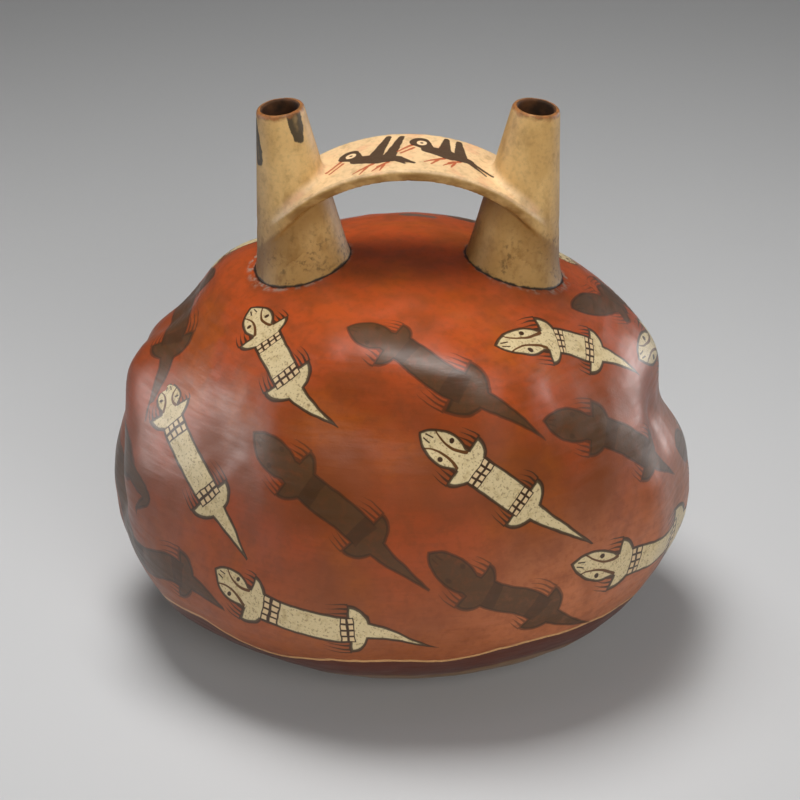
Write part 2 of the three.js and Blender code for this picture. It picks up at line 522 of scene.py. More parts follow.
@dataclass(frozen=True)
class RedSlip:
    """The burnished red-orange slip of the body, with the lizards and the base band painted on it.

    Sizes and places are in millimetres, and colours are linear light. A pair of heights or
    sides is where a shade starts and where it ends.

    Attributes:
        edge_softness: How far to each side the edge of a belt, an eyelid or a pupil is soft.
        body_softness: The same for the edge of a lizard's fill.
        line_softness: The same for its outline and claws.
        detail_softness: The same for the belts and eyes of a brown lizard.
        foot: A spout foot's distance from the middle, height, radius and lean.
        foot_taper: How much the spout narrows for each millimetre up.
        band_width: The width of the dark red band under its cream line.
        relief_depth: The depth of brush marks and unevenness.
        roughness: The roughness of the smoothest slip.
        gap_edge: The noise in the edge of the crack round a spout's foot.
    """

    brown: Colour = (0.190, 0.043, 0.008)
    red: Colour = (0.330, 0.056, 0.009)
    bright: Colour = (0.450, 0.068, 0.010)
    low: Colour = (0.320, 0.092, 0.026)
    # Partly the slip's pink tone, partly painted light and sheen on the lower right.
    rosy_painted_light: Colour = (0.480, 0.160, 0.062)
    amber: Colour = (0.340, 0.078, 0.004)
    cream: Colour = (0.640, 0.510, 0.280)
    worn_cream: Colour = (0.420, 0.300, 0.130)
    speck: Colour = (0.170, 0.100, 0.040)
    cell: Colour = (0.660, 0.480, 0.260)
    line: Colour = (0.040, 0.018, 0.006)
    eyelid: Colour = (0.110, 0.042, 0.008)
    lizard_brown: Colour = (0.080, 0.036, 0.012)
    band_red: Colour = (0.095, 0.022, 0.010)
    band_cream: Colour = (0.560, 0.300, 0.120)
    band_buff: Colour = (0.210, 0.110, 0.040)
    crack: Colour = (0.020, 0.012, 0.008)
    crust: Colour = (0.330, 0.290, 0.230)
    bare_grey: Colour = (0.100, 0.080, 0.060)
    bright_heights: tuple[float, float] = (84, 108)
    low_heights: tuple[float, float] = (22, 66)
    rosy_light_heights: tuple[float, float] = (40, 82)
    rosy_light_sides: tuple[float, float] = (0, 45)
    edge_softness: float = 0.1
    body_softness: float = 0.12
    line_softness: float = 0.14
    detail_softness: float = 0.15
    amber_patch: Stroke = Stroke((-56.5, -10.0, 102.0), (-60.5, -29.0, 90.0), 6.0, 8.0)
    chip: Stroke = Stroke((0.0, 32.0, 114.6), (6.8, 28.8, 115.2), 2.6, 1.8)
    foot: tuple[float, float, float, float] = (29.8, 108.0, 15.6, math.radians(7.5))
    foot_taper: float = 0.24
    band_width: float = 9.6
    relief_depth: float = 0.28
    roughness: float = 0.27
    gap_edge: Blobs = Blobs(3, 3, 8.2)
    drawing: LizardDrawing = LizardDrawing()

    def clay_colour(self, finish: Finish) -> bpy.types.NodeSocket:
        """The slip's uneven colour, with a lighter, pinker lower right that is partly painted light.

        Args:
            finish: The material that is being mixed.

        Returns:
            The mixed colour.
        """
        across, _, height = finish.coordinates()
        # A lighter, pinker lower right: partly the slip's tone, partly painted light and sheen.
        rosy_painted_light = height.falling(*self.rosy_light_heights) * across.rising(*self.rosy_light_sides)
        thin = finish.stroke(finish.millimetres(), self.amber_patch)
        thin = thin + finish.wander(12, Blobs(9, 4, 5.8))
        return finish.layered(
            self.brown,
            (finish.speckle(Blobs(38, 2, 0, 0.36, 0.64)), self.red),
            (height.rising(*self.bright_heights) * 0.8, self.bright),
            (height.falling(*self.low_heights) * 0.7, self.low),
            (rosy_painted_light * 0.7, self.rosy_painted_light),
            (finish.speckle(Blobs(22, 3, 7.3, 0.5, 0.72)) * 0.55, self.amber),
            (thin.falling(-3, 2) * 0.6, self.amber),
            (finish.speckle(Blobs(9, 6, 2.1, 0.42, 0.68)) * 0.5, self.brown),
            (finish.speckle(Blobs(2.2, 6, 6.9, 0.44, 0.7)) * 0.38, self.brown),
            (finish.speckle(Blobs(1.2, 2, 4.4, 0.45, 0.75, (7, 7, 1))) * 0.25, self.brown),
            (finish.speckle(Blobs(0.9, 2, 7.8, 0.69, 0.76)) * 0.4, self.low),
        )

    def with_band(self, finish: Finish, colour: bpy.types.NodeSocket) -> bpy.types.NodeSocket:
        """Adds the band round the base: a cream line over dark red, over buff.

        Args:
            finish: The material that is being mixed.
            colour: The colour that it lies on.

        Returns:
            The mixed colour.
        """
        above = finish.number("above_band") + finish.wander(1.2, Blobs(5, 2, 1.7))
        return finish.layered(
            colour,
            (above.falling(-0.3, 0.1), self.band_red),
            (abs(above).falling(0.3, 0.6), self.band_cream),
            (above.falling(-self.band_width, 0.4 - self.band_width), self.band_buff),
        )

    def with_lizards(self, finish: Finish, colour: bpy.types.NodeSocket) -> bpy.types.NodeSocket:
        """Adds the cream lizards and the brown ones.

        Args:
            finish: The material that is being mixed.
            colour: The colour that it lies on.

        Returns:
            The mixed colour.
        """
        along, across, kind = finish.parts(finish.attribute("lizard"))
        along = along + finish.wander(0.9, Blobs(4.5, 1, 3.3))
        across = abs(across + finish.wander(0.9, Blobs(5.5, 1, 9.1)))
        draw = self.drawing
        outside = draw.outside(along, across)
        front_claws = draw.claws(along, across, draw.front_leg)
        hind_claws = draw.claws(along, across, draw.hind_leg)
        claws = front_claws.least(hind_claws).most(0.1 - outside)
        edge = abs(outside) - draw.line_width / 2
        first_belt, first_cells = draw.belt(along, across, draw.first_belt)
        second_belt, second_cells = draw.belt(along, across, draw.second_belt)
        belts = first_belt.least(second_belt).most(across - draw.trunk_width)
        cells = first_cells.least(second_cells).most(across - draw.trunk_width + 0.2)
        face = outside.most(along - draw.first_belt)
        eyelids = draw.eyelids(along, across).most(face)
        pupils = draw.pupils(along, across).least(draw.nostrils(along, across)).most(face)

        fill = finish.layered(
            self.cream,
            (finish.speckle(Blobs(2.2, 4, 5.5, 0.48, 0.74)) * 0.7, self.worn_cream),
            (finish.speckle(Blobs(0.7, 3, 2.9, 0.54, 0.66)) * 0.6, self.speck),
            (belts.inside(self.edge_softness), self.line),
            (cells.inside(self.edge_softness), self.cell),
            (eyelids.inside(self.edge_softness), self.eyelid),
            (pupils.inside(self.edge_softness), self.line),
        )
        mottle = finish.speckle(Blobs(2, 4, 6.6, 0.4, 0.8, (1, 3, 1)))
        details = belts.least(pupils).inside(self.detail_softness)
        brown = finish.layered(self.lizard_brown, (mottle * 0.2, colour), (details * 0.55, self.line))
        is_brown = kind.rising(1.4, 1.6)
        painted = finish.mixed(is_brown, fill, brown)
        body = outside.inside(self.body_softness)
        lines = edge.least(claws).inside(self.line_softness)
        faint = 0.92 - is_brown * 0.25
        return finish.layered(colour, (body * 0.97, painted), (lines * faint, self.line))

    def from_foot(self, finish: Finish) -> Amount:
        """How far outside the nearest spout's foot a point is, square to the spout's leaning axis.

        Args:
            finish: The material that is being mixed.

        Returns:
            The distance in millimetres.
        """
        across, deep, height = finish.coordinates()
        centre, level, radius, lean = self.foot
        outwards, up = abs(across) - centre, height - level
        run = outwards * math.cos(lean) - up * math.sin(lean)
        rise = outwards * math.sin(lean) + up * math.cos(lean)
        return run.apart(deep) - radius + rise * self.foot_taper

    def material(self) -> bpy.types.Material:
        """Mixes the material.

        Returns:
            The finished material.
        """
        finish = Finish("red_slip")
        colour = self.clay_colour(finish)
        colour = self.with_band(finish, colour)
        colour = self.with_lizards(finish, colour)
        gap = finish.number("foot_gap") + finish.wander(1.6, self.gap_edge)
        crust = finish.speckle(Blobs(2.0, 4, 0.6, 0.44, 0.62))
        from_foot = self.from_foot(finish) + finish.wander(2, Blobs(4, 3, 2.5))
        chip = finish.stroke(finish.millimetres(), self.chip) + finish.wander(3, Blobs(1.8, 3, 5.1))
        colour = finish.layered(
            colour,
            (from_foot.falling(0.4, 2.0) * crust * 0.65, self.crust),
            (gap.falling(0.2, 0.8) * 0.95, self.crack),
            (chip.falling(-0.4, 0.3) * 0.9, self.bare_grey),
        )
        strokes = finish.speckle(Blobs(1.4, 3, 2.7, stretch=(9, 9, 1)))
        grain = finish.speckle(Blobs(0.7, 3, 1.1))
        waves = finish.speckle(Blobs(7, 2, 3.9, stretch=(1.6, 1.6, 1)))
        finish.relief(strokes * 0.3 + grain * 0.15 + waves * 0.55, self.relief_depth)
        brushed = self.roughness + strokes.rising(0.3, 0.8) * 0.14
        return finish.paint(colour, brushed + finish.speckle(Blobs(14, 2, 4.1)) * 0.12)


@dataclass(frozen=True)
class Bird:
    """A long-billed bird painted on the strap, in millimetres from its eye as seen from above."""

    eye: tuple[float, float]
    wings: tuple[Stroke, ...]
    tail: tuple[Stroke, ...]
    trunk: tuple[Stroke, ...] = (
        Stroke((-0.4, 0.2), (1.9, -3.2), 3.1, 1.7),
        Stroke((1.9, -4.0), (7.8, -6.0), 2.2, 2.9),
        Stroke((7.8, -6.0), (13.2, -6.8), 2.9, 1.6),
    )
    bill: tuple[Stroke, ...] = (
        Stroke((-2.7, -1.6), (-6.9, -5.9), 0.50, 0.30),
        Stroke((-2.3, -3.6), (-6.0, -7.1), 0.45, 0.30),
    )
    legs: tuple[Stroke, ...] = (
        Stroke((6.2, -8.8), (2.6, -11.0), 0.55, 0.35),
        Stroke((3.6, -10.5), (0.7, -12.4), 0.40, 0.25),
        Stroke((4.6, -10.3), (2.6, -13.6), 0.40, 0.25),
        Stroke((10.6, -8.8), (7.6, -11.0), 0.55, 0.35),
        Stroke((8.4, -10.6), (6.0, -13.4), 0.40, 0.25),
        Stroke((9.4, -10.4), (8.2, -13.7), 0.40, 0.25),
    )
    eye_white: float = 1.45
    pupil: float = 0.5


@dataclass(frozen=True)
class CreamSlip:
    """The buff-cream slip of the spouts and the strap.

    Sizes and places are in millimetres. A pair of heights or sides is where a shade starts and where
    it ends.
    """

    cream: Colour = (0.740, 0.470, 0.180)
    pale: Colour = (0.860, 0.600, 0.340)
    # Darker low on the spouts: partly dirt, partly painted shade below the strap.
    yellow: Colour = (0.500, 0.275, 0.075)
    low: Colour = (0.340, 0.185, 0.050)
    # Tan stains and clouds, and also the painted shade under the strap.
    tan_and_shade: Colour = (0.235, 0.110, 0.022)
    worn: Colour = (0.120, 0.045, 0.008)
    lip: Colour = (0.300, 0.100, 0.022)
    speck: Colour = (0.050, 0.028, 0.010)
    stain: Colour = (0.022, 0.018, 0.012)
    blush: Colour = (0.760, 0.400, 0.210)
    bird_brown: Colour = (0.038, 0.016, 0.007)
    bird_red: Colour = (0.420, 0.065, 0.012)
    # Where the spouts darken below the strap: partly dirt, partly painted shade.
    low_heights: tuple[float, float] = (112, 146)
    tan_heights: tuple[float, float] = (112, 136)
    dirt_heights: tuple[float, float] = (116, 138)
    strap_sides: tuple[float, float] = (31, 38)
    pale_sides: tuple[float, float] = (34, 40)
    strap_thickness: float = 3.4
    relief_depth: float = 0.35
    roughness: float = 0.46
    stains: tuple[Stroke, ...] = (
        Stroke((-31.6, -5.8, 162.6), (-30.4, -6.6, 157.0), 2.7, 2.1),
        Stroke((-43.4, -1.0, 159.0), (-41.8, -3.6, 149.0), 1.5, 2.2),
    )
    birds: tuple[Bird, ...] = (
        Bird(
            (-16.2, 2.4),
            (Stroke((7.0, -3.6), (10.7, 8.0), 2.0, 0.8), Stroke((11.0, -4.6), (14.4, 7.6), 1.8, 0.8)),
            (Stroke((13.2, -7.0), (17.8, -9.8), 1.6, 0.5), Stroke((13.0, -7.6), (15.2, -10.2), 1.0, 0.4)),
        ),
        Bird(
            (3.9, 6.2),
            (Stroke((6.4, -4.4), (7.1, 4.2), 2.0, 0.8), Stroke((11.0, -4.6), (10.6, 4.2), 1.9, 0.8)),
            (Stroke((12.6, -7.0), (18.0, -12.2), 0.8, 0.3), Stroke((13.2, -6.4), (20.0, -11.4), 0.8, 0.3)),
        ),
    )

    def with_birds(self, finish: Finish, colour: bpy.types.NodeSocket) -> bpy.types.NodeSocket:
        """Adds the birds on the strap's top.

        Args:
            finish: The material that is being mixed.
            colour: The colour that it lies on.

        Returns:
            The mixed colour.
        """
        shake = finish.wander(0.55, Blobs(1.6, 2, 4.8))
        top = finish.number("above_strap").rising(-0.9, -0.6)
        flat = finish.millimetres(flat=True)
        for bird in self.birds:
            plane = finish.vectors("SUBTRACT", flat, (*bird.eye, 0)).outputs["Vector"]
            red = finish.strokes(plane, bird.bill + bird.legs) + shake
            brown = finish.strokes(plane, bird.trunk + bird.wings + bird.tail) + shake
            from_eye = Amount(finish, finish.vectors("LENGTH", plane).outputs["Value"]) + shake * 0.5
            colour = finish.layered(
                colour,
                (red.falling(-0.1, 0.15) * top * 0.9, self.bird_red),
                (brown.falling(-0.1, 0.15) * top * 0.94, self.bird_brown),
                (from_eye.falling(bird.eye_white - 0.1, bird.eye_white + 0.15) * top, self.pale),
                (from_eye.falling(bird.pupil - 0.1, bird.pupil + 0.1) * top, self.bird_brown),
            )
        return colour

    def with_wear(self, finish: Finish, colour: bpy.types.NodeSocket) -> bpy.types.NodeSocket:
        """Adds the strap's rubbed edges, its darker sides, painted shade with some dirt just under it, and
        the rubbed lips.

        Args:
            finish: The material that is being mixed.
            colour: The colour that it lies on.

        Returns:
            The mixed colour.
        """
        across, _, _ = finish.coordinates()
        on_strap = abs(across).falling(*self.strap_sides)
        above = finish.number("above_strap")
        wander = finish.wander(1.4, Blobs(3, 3, 2.2))
        edge = finish.number("strap_edge")
        side = (edge + wander * 0.5).falling(0.2, 1.0) * above.falling(-1.6, -0.4) * on_strap
        patchy = finish.speckle(Blobs(3.5, 3, 9.3, 0.36, 0.62, (2, 1, 1)))
        corner = abs(edge - 0.45 + wander * 0.4).falling(0.25, 0.9) * above.falling(0.9, 1.3)
        broken = finish.speckle(Blobs(1.6, 4, 1.9, 0.36, 0.56, (2.5, 1, 1)))
        # Painted shade, with some dirt, on the spouts just under the strap's underside.
        below = above + self.strap_thickness
        under = below.falling(-1.6, 0.2) * below.rising(-13, -3)
        rim = finish.number("below_lip") + finish.wander(2.6, Blobs(2.5, 3, 7.7))
        rubbed = finish.speckle(Blobs(1.6, 4, 5.9, 0.42, 0.62))
        return finish.layered(
            colour,
            (side * (0.45 + patchy * 0.5), self.tan_and_shade),
            (corner * above.rising(-1.6, -1.0) * broken * on_strap * 0.3, self.worn),
            # Painted shade and dirt under the strap.
            (under * edge.falling(18, 20) * 0.75, self.tan_and_shade),
            (rim.falling(0.3, 1.7) * 0.92, finish.mixed(rubbed * 0.7, self.lip, self.worn)),
        )

    def material(self) -> bpy.types.Material:
        """Mixes the material.

        Returns:
            The finished material.
        """
        finish = Finish("cream_slip")
        across, _, height = finish.coordinates()
        above = finish.number("above_strap")
        top = above.rising(-1.0, -0.4) * above.falling(1.2, 4.2)
        top = top * abs(across).falling(*self.pale_sides)
        top = top * finish.number("strap_edge").rising(-0.3, 0.4)
        blush = finish.speckle(Blobs(7, 2, 8.8, 0.52, 0.68))
        clouds = finish.speckle(Blobs(4.5, 4, 6.1, 0.5, 0.72, (1, 1, 1.5)))
        dirt = finish.speckle(Blobs(9, 3, 4.4, 0.44, 0.62)) * height.falling(*self.dirt_heights)
        specks = finish.speckle(Blobs(1.3, 6, 3.7, 0.46, 0.68))
        stain = finish.strokes(finish.millimetres(), self.stains)
        stain = stain + finish.wander(2.8, Blobs(3.4, 4, 3.1))
        colour = finish.layered(
            self.cream,
            (finish.speckle(Blobs(8, 3, 1.2, 0.36, 0.64, (1, 1, 1.8))) * 0.6, self.yellow),
            (top * 0.72, self.pale),
            (top * blush * 0.6, self.blush),
            # Darker towards the spouts' feet, below the strap: partly dirt, partly painted shade.
            (height.falling(*self.low_heights) * 0.8, self.low),
            (clouds * (0.35 + height.falling(*self.tan_heights) * 0.4), self.tan_and_shade),
            (specks * (0.14 + dirt * 0.6), self.speck),
            (stain.falling(-0.2, 0.25) * 0.92, self.stain),
            (stain.falling(-2.6, -1.4) * 0.25, self.cream),
        )
        colour = self.with_birds(finish, self.with_wear(finish, colour))
        gap = finish.number("foot_gap") + finish.wander(1.6, RedSlip.gap_edge)
        colour = finish.mixed(gap.falling(0.1, 0.7) * 0.95, colour, RedSlip.crack)
        grain = finish.speckle(Blobs(0.9, 4, 1.1))
        waves = finish.speckle(Blobs(5, 2, 7.4, stretch=(1, 1, 2)))
        finish.relief(grain * 0.35 + waves * 0.65, self.relief_depth)
        return finish.paint(colour, self.roughness + grain * 0.16)


@dataclass(frozen=True)
class BareClay:
    """The unpainted clay inside, dark red-brown."""

    clay: Colour = (0.110, 0.042, 0.014)
    dark: Colour = (0.036, 0.016, 0.006)
    relief_depth: float = 0.15
    roughness: float = 0.8

    def material(self) -> bpy.types.Material:
        """Mixes the material.

        Returns:
            The finished material.
        """
        finish = Finish("bare_clay")
        broad = finish.speckle(Blobs(5, 3, 0, 0.35, 0.65))
        grain = finish.speckle(Blobs(0.6, 2, 2.2))
        finish.relief(grain, self.relief_depth)
        return finish.paint(finish.mixed(broad, self.clay, self.dark), self.roughness + grain * 0.1)


def make_object(name: str, data: bpy.types.ID) -> bpy.types.Object:
    """Puts a mesh, a light or a camera into the scene.

    Args:
        name: The object's name.
        data: What it shows.

    Returns:
        The new object, at the origin.
    """
    made = bpy.data.objects.new(name, data)
    bpy.context.scene.collection.objects.link(made)
    return made


def read_points(mesh: bpy.types.Mesh) -> np.ndarray:
    """The points of a mesh, one in each row.

    Args:
        mesh: The mesh.

    Returns:
        X, Y and Z of each point.
    """
    points = np.empty(len(mesh.vertices) * 3)
    mesh.vertices.foreach_get("co", points)
    return points.reshape(-1, 3)


def read_whole(items: bpy.types.bpy_prop_collection, name: str) -> np.ndarray:
    """A whole number of each item of a mesh, such as a corner's point.

    Args:
        items: The mesh's corners or faces.
        name: What is read of each.

    Returns:
        The numbers.
    """
    values = np.empty(len(items), dtype=int)
    items.foreach_get(name, values)
    return values


def mark(mesh: bpy.types.Mesh, name: str, values: np.ndarray | list[float]) -> None:
    """Gives each point of a mesh a number, in an attribute."""
    attribute = mesh.attributes.new(name, "FLOAT", "POINT")
    attribute.data.foreach_set("value", values)


def smooth(form: bmesh.types.BMesh, verts: list[bmesh.types.BMVert], passes: int) -> None:
    """Moves points halfway to the middle of their neighbours, again and again.

    Args:
        form: The mesh.
        verts: The points that move.
        passes: How many times they move.
    """
    for _ in range(passes):
        bmesh.ops.smooth_vert(
            form, verts=verts, factor=0.5, use_axis_x=True, use_axis_y=True, use_axis_z=True
        )


def prism(corners: list[tuple[float, float, float]], way: tuple[float, float, float]) -> bmesh.types.BMesh:
    """A solid swept straight from a flat outline.

    Args:
        corners: The outline's corners.
        way: How far it is swept along X, Y and Z.

    Returns:
        The solid.
    """
    form = bmesh.new()
    face = form.faces.new([form.verts.new(corner) for corner in corners])
    extruded = bmesh.ops.extrude_face_region(form, geom=[face])
    moved = [item for item in extruded["geom"] if isinstance(item, bmesh.types.BMVert)]
    bmesh.ops.translate(form, verts=moved, vec=way)
    bmesh.ops.recalc_face_normals(form, faces=form.faces[:])
    return form


def to_object(name: str, form: bmesh.types.BMesh) -> bpy.types.Object:
    """Turns a bmesh into an object and frees it.

    Args:
        name: The object's name.
        form: The bmesh, which can't be used afterwards.

    Returns:
        The new object.
    """
    mesh = bpy.data.meshes.new(name)
    form.to_mesh(mesh)
    form.free()
    return make_object(name, mesh)


def apply_modifiers(piece: bpy.types.Object) -> None:
    """Replaces a piece's mesh with what its modifiers make of it.

    Args:
        piece: The piece.
    """
    depsgraph = bpy.context.evaluated_depsgraph_get()
    mesh = bpy.data.meshes.new_from_object(piece.evaluated_get(depsgraph), depsgraph=depsgraph)
    piece.modifiers.clear()
    piece.data = mesh


def combine(piece: bpy.types.Object, other: bpy.types.Object, operation: str) -> None:
    """Combines a piece with another solid, and removes the other solid.

    Args:
        piece: The solid that changes.
        other: The solid that is joined to it, cut away from it or shared with it.
        operation: UNION, DIFFERENCE or INTERSECT.
    """
    boolean = piece.modifiers.new("combine", "BOOLEAN")
    boolean.operation = operation
    boolean.solver = "EXACT"
    boolean.object = other
    apply_modifiers(piece)
    bpy.data.objects.remove(other)


@dataclass(frozen=True)
class Swelling:
    """A swelling or hollow pressed into the clay along a short line on the plain body.

    Attributes:
        start: Azimuth in degrees, 0 at the front and positive to the right, and share of the
            crown's height.
        end: The line's other end, in the same way.
        spread: How far it spreads, as a share of half the girth.
        swell: How far it pushes the clay out, as a share of half the girth. A hollow is negative.
    """

    start: tuple[float, float]
    end: tuple[float, float]
    spread: float
    swell: float


@dataclass
class Body:
    """The knobbly hollow body, in millimetres."""

    girth_width: float = 160.0
    girth_depth: float = 150.0
    girth_height: float = 48.5
    crown_height: float = 118.5
    keel_depth: float = 5.0
    roundness: float = 2.25
    wall: float = 4.2
    floor_thickness: float = 5.5
    unevenness: float = 0.22
    unevenness_size: float = 9.0
    unevenness_fading: float = 1.0
    unevenness_finer: float = 2.0
    unevenness_layers: int = 2
    skin_subdivisions: int = 7
    hollow_subdivisions: int = 6
    swellings: tuple[Swelling, ...] = (
        Swelling((-118, 0.48), (-106, 0.38), 0.19, 0.092),
        Swelling((-88, 0.25), (-64, 0.20), 0.18, 0.060),
        Swelling((-97, 0.60), (-86, 0.40), 0.075, -0.055),
        Swelling((-82, 0.68), (-72, 0.50), 0.13, 0.055),
        Swelling((-118, 0.86), (-105, 0.90), 0.17, 0.055),
        Swelling((-108, 0.79), (-98, 0.80), 0.08, -0.025),
        Swelling((-102, 0.68), (-90, 0.68), 0.12, 0.045),
        Swelling((-45, 0.66), (-38, 0.50), 0.13, -0.030),
        Swelling((-24, 0.90), (26, 0.84), 0.12, 0.045),
        Swelling((-16, 0.80), (4, 0.77), 0.11, -0.045),
        Swelling((20, 0.76), (24, 0.74), 0.10, 0.020),
        Swelling((-4, 0.66), (2, 0.50), 0.14, -0.020),
        Swelling((104, 0.38), (92, 0.30), 0.18, 0.038),
        Swelling((108, 0.55), (76, 0.63), 0.09, -0.060),
        Swelling((62, 0.48), (64, 0.36), 0.08, 0.020),
        Swelling((70, 0.78), (88, 0.76), 0.12, 0.022),
        Swelling((178, 0.93), (-172, 0.94), 0.24, 0.010),
        Swelling((-38, 0.22), (-16, 0.20), 0.14, 0.036),
        Swelling((62, 0.14), (48, 0.12), 0.12, 0.010),
        Swelling((150, 0.50), (172, 0.62), 0.20, 0.050),
        Swelling((-158, 0.66), (-146, 0.40), 0.10, -0.045),
        Swelling((-150, 0.22), (-176, 0.28), 0.17, 0.040),
    )

    @property
    def half_width(self) -> float:
        """Half the girth's width."""
        return self.girth_width / 2

    @property
    def depth_share(self) -> float:
        """The girth's depth as a share of its width."""
        return self.girth_depth / self.girth_width

    def rise(self, up: np.ndarray) -> np.ndarray:
        """How far the plain form reaches up from the girth, or down from it where up is negative."""
        above, below = self.crown_height - self.girth_height, self.girth_height + self.keel_depth
        return np.where(up >= 0, above, below)

    def plain_height(self, across: float) -> float:
        """The height of the plain form's upper face at a distance from its axis, along X."""
        share = (1 - (abs(across) / self.half_width) ** self.roundness) ** (1 / self.roundness)
        return self.girth_height + (self.crown_height - self.girth_height) * share

    def place(self, azimuth: float, height_share: float) -> np.ndarray:
        """A place on the plain form.

        Args:
            azimuth: Degrees from the front, positive to the right.
            height_share: Height as a share of the crown's height.

        Returns:
            The point, in millimetres.
        """
        height = height_share * self.crown_height
        upright = abs(height - self.girth_height) / float(self.rise(np.array(height - self.girth_height)))
        radius = self.half_width * (1 - upright**self.roundness) ** (1 / self.roundness)
        angle = math.radians(azimuth)
        return np.array((radius * math.sin(angle), -radius * self.depth_share * math.cos(angle), height))

    def swell_at(self, points: np.ndarray) -> np.ndarray:
        """How far the swellings and hollows together push points of the plain form outwards.

        Args:
            points: The points, in millimetres.

        Returns:
            Millimetres outwards, for each point.
        """
        total = np.zeros(len(points))
        for swelling in self.swellings:
            start = self.place(*swelling.start)
            along = self.place(*swelling.end) - start
            share = np.clip((points - start) @ along / (along @ along), 0, 1)
            apart = points - start - share[:, None] * along
            spread = swelling.spread * self.half_width
            lift = np.exp(-(apart**2).sum(axis=1) / (2 * spread**2))
            total += swelling.swell * self.half_width * lift
        return total

    def skin_points(self, directions: np.ndarray) -> np.ndarray:
        """The skin's points in unit directions from the girth's middle, without any unevenness.

        Args:
            directions: The directions, one in each row.

        Returns:
            The points, in millimetres.
        """
        across = np.hypot(directions[:, 0], directions[:, 1]) / self.half_width
        upright = np.abs(directions[:, 2]) / self.rise(directions[:, 2])
        reach = (across**self.roundness + upright**self.roundness) ** (-1 / self.roundness)
        from_middle = directions * reach[:, None] * np.array((1, self.depth_share, 1))
        outwards = from_middle / np.linalg.norm(from_middle, axis=1)[:, None]
        plain = from_middle + np.array((0, 0, self.girth_height))
        return plain + outwards * self.swell_at(plain)[:, None]

    def skin(self, subdivisions: int, uneven: bool) -> bmesh.types.BMesh:
        """The whole skin as a closed sphere-like mesh.

        Args:
            subdivisions: How finely the sphere that it starts from is divided.
            uneven: Whether the small unevenness of hand work is added.

        Returns:
            The mesh.
        """
        form = bmesh.new()
        bmesh.ops.create_icosphere(form, subdivisions=subdivisions, radius=1)
        directions = np.array([vert.co for vert in form.verts])
        directions /= np.linalg.norm(directions, axis=1)[:, None]
        points = self.skin_points(directions)
        layers = (self.unevenness_fading, self.unevenness_finer, self.unevenness_layers)
        for vert, point, direction in zip(form.verts, points, directions):
            vert.co = point
            if uneven:
                wave = noise.fractal(vert.co / self.unevenness_size, *layers)
                vert.co += Vector(direction) * self.unevenness * wave
        return form

    def cut_flat(self, form: bmesh.types.BMesh, height: float) -> None:
        """Cuts everything below a height off a closed mesh and closes the cut.

        Args:
            form: The closed mesh.
            height: The height of the cut.
        """
        everything = form.verts[:] + form.edges[:] + form.faces[:]
        cut = bmesh.ops.bisect_plane(
            form, geom=everything, plane_co=(0, 0, height), plane_no=(0, 0, 1), clear_inner=True
        )
        rim = [item for item in cut["geom_cut"] if isinstance(item, bmesh.types.BMEdge)]
        bmesh.ops.contextual_create(form, geom=rim)

    def outside(self) -> bmesh.types.BMesh:
        """The body's outer skin, standing on its flat underside.

        Returns:
            The closed mesh.
        """
        form = self.skin(self.skin_subdivisions, uneven=True)
        self.cut_flat(form, 0)
        return form

    def hollow(self) -> bmesh.types.BMesh:
        """The space inside: the skin moved inwards by the wall, with a flat floor.

        Returns:
            The closed mesh.
        """
        form = self.skin(self.hollow_subdivisions, uneven=False)
        form.normal_update()
        inwards = [vert.co - vert.normal * self.wall for vert in form.verts]
        for vert, point in zip(form.verts, inwards):
            vert.co = point
        self.cut_flat(form, self.floor_thickness)
        return form


